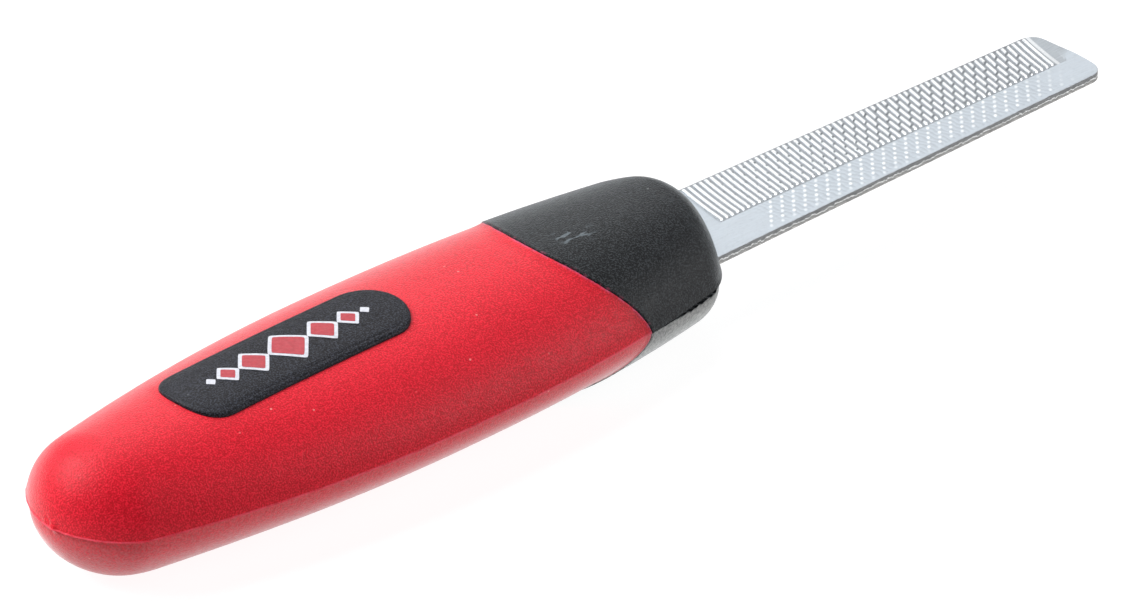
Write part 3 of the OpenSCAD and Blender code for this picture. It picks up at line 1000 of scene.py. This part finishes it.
def badge_black():
    m = Finish("badge_black")
    broad = m.noise(90.0, 3.0, 0.5)
    base = m.mix(m.span(broad, 0.3, 0.7), colour(0.007, 0.007, 0.010), colour(0.012, 0.012, 0.016))
    base, grain = grainy(m, BADGE_GRAIN, base, colour(0.002, 0.002, 0.004),
                         colour(0.030, 0.033, 0.045))
    m.set(Base_Color=dusted(m, base, 0.3, colour(0.25, 0.26, 0.28)))
    m.set(Roughness=m.span(m.noise(1100.0, 3.0, 0.6), 0.3, 0.7, 0.42, 0.52))
    m.shader.inputs["Specular IOR Level"].default_value = 0.17
    m.set(Normal=m.bump(grain, 0.00004, 1.0))
    return m


def core_plastic():
    m = Finish("core_plastic")
    flow = m.noise(1.0, 3.0, 0.6, m.stretch(60.0, 240.0, 240.0))
    base = m.mix(m.span(flow, 0.3, 0.7), colour(0.03, 0.03, 0.032), colour(0.05, 0.05, 0.053))
    m.set(Base_Color=base)
    m.set(Roughness=m.span(m.noise(700.0, 3.0, 0.6), 0.3, 0.7, 0.45, 0.62))
    m.set(Normal=m.bump(m.noise(1600.0, 2.0, 0.5), 0.00002, 0.5))
    return m


def ink(name, low, high):
    m = Finish(name)
    grain = m.noise(2600.0, 2.0, 0.6)
    m.set(Base_Color=m.mix(m.span(grain, 0.3, 0.7), low, high))
    m.set(Roughness=m.span(m.noise(1500.0, 2.0, 0.5), 0.3, 0.7, 0.42, 0.56))
    m.set(Normal=m.bump(grain, 0.000008, 0.6))
    return m


def blade_steel():
    m = Finish("blade_steel")
    brushed = m.noise(1.0, 4.0, 0.65, m.stretch(260.0, 5200.0, 2600.0, (0, 0, 0.9)))
    cloud = m.noise(140.0, 3.0, 0.6)
    fine = m.noise(5200.0, 2.0, 0.6)
    flat = m.mix(m.span(brushed, 0.2, 0.8), colour(0.45, 0.49, 0.53), colour(0.52, 0.57, 0.62))
    mottle = m.noise(1.0, 3.0, 0.6, m.stretch(1400.0, 2600.0, 1400.0, (0, 0, 0.5)))
    flat = m.mix(m.span(mottle, 0.5, 0.7, 0.0, 0.35), flat, colour(0.36, 0.40, 0.45))
    flat = m.mix(m.span(cloud, 0.35, 0.7, 0.0, 0.4), flat, colour(0.50, 0.54, 0.59))
    bright = m.mix(m.span(fine, 0.3, 0.7), colour(0.80, 0.82, 0.84), colour(0.92, 0.93, 0.94))
    groove_shade = m.mix(m.span(fine, 0.3, 0.7), colour(0.24, 0.256, 0.275), colour(0.34, 0.36, 0.38))
    # Painted shade on the low parts of the shallow waves
    flat = m.mix(m.span(m.field("ripple"), 0.55, 0.95, 0.0, 0.35), flat, colour(0.30, 0.33, 0.37))
    base = m.mix(m.field("dots"), flat, bright)
    # Painted shade in the grooves between the teeth
    base = m.mix(m.field("groove"), base, groove_shade)
    # Painted highlight on the crests, and on the wall where the cutting stops
    base = m.mix(m.field("crest"), base, bright)
    # Painted shade in the pits between the bricks
    base = m.mix(m.math("MULTIPLY", m.field("pit"), 0.6), base, colour(0.1, 0.105, 0.115))
    # Painted shade on the trough that runs on to the tip
    trough = m.mix(m.span(brushed, 0.25, 0.75), colour(0.33, 0.355, 0.38), colour(0.44, 0.47, 0.50))
    base = m.mix(m.field("trough"), base, trough)
    # Sheared side, from the top: burnished band, bright torn line, grey broken band, pale foot
    ragged = m.noise(1.0, 3.0, 0.7, m.stretch(1500.0, 1500.0, 500.0))
    band = m.math("ADD", m.field("band"), m.span(ragged, 0.3, 0.7, -0.13, 0.13))
    streaks = m.noise(1.0, 3.0, 0.7, m.stretch(900.0, 900.0, 5200.0))
    burnished = m.mix(m.span(streaks, 0.3, 0.7), colour(0.15, 0.155, 0.16),
                      colour(0.25, 0.255, 0.26))
    torn = m.mix(m.span(streaks, 0.3, 0.6), colour(0.50, 0.51, 0.51), colour(0.85, 0.86, 0.86))
    broken = m.mix(m.span(streaks, 0.3, 0.7), colour(0.21, 0.21, 0.206), colour(0.35, 0.35, 0.342))
    foot = m.mix(m.span(streaks, 0.3, 0.7), colour(0.34, 0.335, 0.32), colour(0.52, 0.51, 0.49))
    side = m.mix(m.span(band, 0.46, 0.50), burnished, torn)
    side = m.mix(m.span(band, 0.56, 0.62), side, broken)
    side = m.mix(m.span(band, 0.86, 0.94), side, foot)
    base = m.mix(m.field("side"), base, side)
    m.set(Base_Color=base)
    rough = m.span(brushed, 0.2, 0.8, 0.32, 0.42)
    dullness = m.math("MAXIMUM", m.field("groove"), m.math("MULTIPLY", m.field("side"), 0.7))
    m.set(Roughness=m.math("ADD", rough, m.math("MULTIPLY", dullness, 0.16)))
    m.set(Normal=m.bump(fine, 0.000006, 0.5, m.bump(brushed, 0.000008, 0.5)))
    m.shader.inputs["Metallic"].default_value = 1.0
    return m


# ---------------------------------------------------------------- build

steel = blade_steel()
red = red_soft()
black = black_soft()
badge_finish = badge_black()
core = core_plastic()

pieces = {
    "grip_upper": (grip_half("grip_upper_skin", UP), red, "red_soft"),
    "grip_lower": (grip_half("grip_lower_skin", DOWN), red, "red_soft"),
    "collar_upper": (collar_half("collar_upper_skin", UP), black, "black_soft"),
    "collar_lower": (collar_half("collar_lower_skin", DOWN), black, "black_soft"),
    "badge_pad": (badge(), badge_finish, "badge_black"),
    "file_blade": (blade(), steel, "blade_steel"),
}
for node, (piece, finish, slot) in pieces.items():
    finish.wear(piece)
    place(piece, slot, node)

hidden_part = tang()
steel.wear(hidden_part)
place(hidden_part, "blade_steel")

print_white, print_red = emblem()
ink("print_white", colour(0.44, 0.45, 0.50), colour(0.54, 0.55, 0.60)).wear(print_white)
ink("print_red", colour(0.30, 0.016, 0.028), colour(0.38, 0.026, 0.040)).wear(print_red)
place(print_white, "")
place(print_red, "")

for node in ("core_upper", "core_lower"):
    core.wear(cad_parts[node])

# ---------------------------------------------------------------- floor, light and camera

FLOOR_SIZE = 6.0
FLOOR_GLOW = 0.92
WORLD_GLOW = 0.03

bpy.ops.mesh.primitive_plane_add(size=FLOOR_SIZE)
floor = bpy.context.object
floor.name = "floor"
# A hair below the surface that the tool lies on, so that the two don't share a plane
floor.location.z = -0.0001
table = Finish("floor_white")
table.set(Base_Color=table.mix(table.span(table.noise(3.0, 2.0, 0.5), 0.3, 0.7),
                               colour(0.15, 0.15, 0.15), colour(0.17, 0.17, 0.17)))
table.set(Roughness=0.9)
table.shader.inputs["Emission Color"].default_value = (1.0, 1.0, 1.0, 1.0)
table.shader.inputs["Emission Strength"].default_value = FLOOR_GLOW
table.wear(floor)

world = bpy.data.worlds.new("studio")
bpy.context.scene.world = world
world.use_nodes = True
background = world.node_tree.nodes["Background"]
background.inputs["Color"].default_value = (0.96, 0.98, 1.0, 1.0)
background.inputs["Strength"].default_value = WORLD_GLOW


def panel(name, place_at, size, power):
    """White area light of a size in metres and a power in watts, aimed at the tool."""
    light = bpy.data.lights.new(name, "AREA")
    light.shape = "RECTANGLE"
    light.size, light.size_y = size
    light.energy = power
    obj = bpy.data.objects.new(name, light)
    bpy.context.scene.collection.objects.link(obj)
    obj.location = place_at
    towards = Vector((0, 0, 0.01)) - Vector(place_at)
    obj.rotation_euler = towards.to_track_quat("-Z", "Y").to_euler()


panel("back_panel", (0.94, 1.01, 0.8), (1.6, 0.9), 6.5)
panel("key_panel", (-0.55, 0.5, 0.67), (0.8, 0.6), 14.5)
panel("top_panel", (0.0, 0.37, 0.93), (0.9, 0.6), 6.5)
panel("side_panel", (0.81, -0.73, 0.51), (0.6, 0.6), 7.0)

CAMERA_TURN = math.radians(-133.02)
CAMERA_RISE = math.radians(29.82)
CAMERA_FAR = 1.4588
CAMERA_AIM = Vector((-0.00426, -0.00199, 0.0088))
CAMERA_LENS = 383.7
SENSOR_WIDTH = 36.0
camera_data = bpy.data.cameras.new("camera")
camera_data.lens = CAMERA_LENS
camera_data.sensor_width = SENSOR_WIDTH
camera_data.clip_start = 0.05
camera_data.clip_end = 20.0
camera = bpy.data.objects.new("camera", camera_data)
bpy.context.scene.collection.objects.link(camera)
direction = Vector((math.cos(CAMERA_RISE) * math.cos(CAMERA_TURN),
                    math.cos(CAMERA_RISE) * math.sin(CAMERA_TURN),
                    math.sin(CAMERA_RISE)))
camera.location = CAMERA_AIM + direction * CAMERA_FAR
camera.rotation_euler = (-direction).to_track_quat("-Z", "Y").to_euler()
bpy.context.scene.camera = camera
bpy.context.scene.view_settings.view_transform = "Standard"
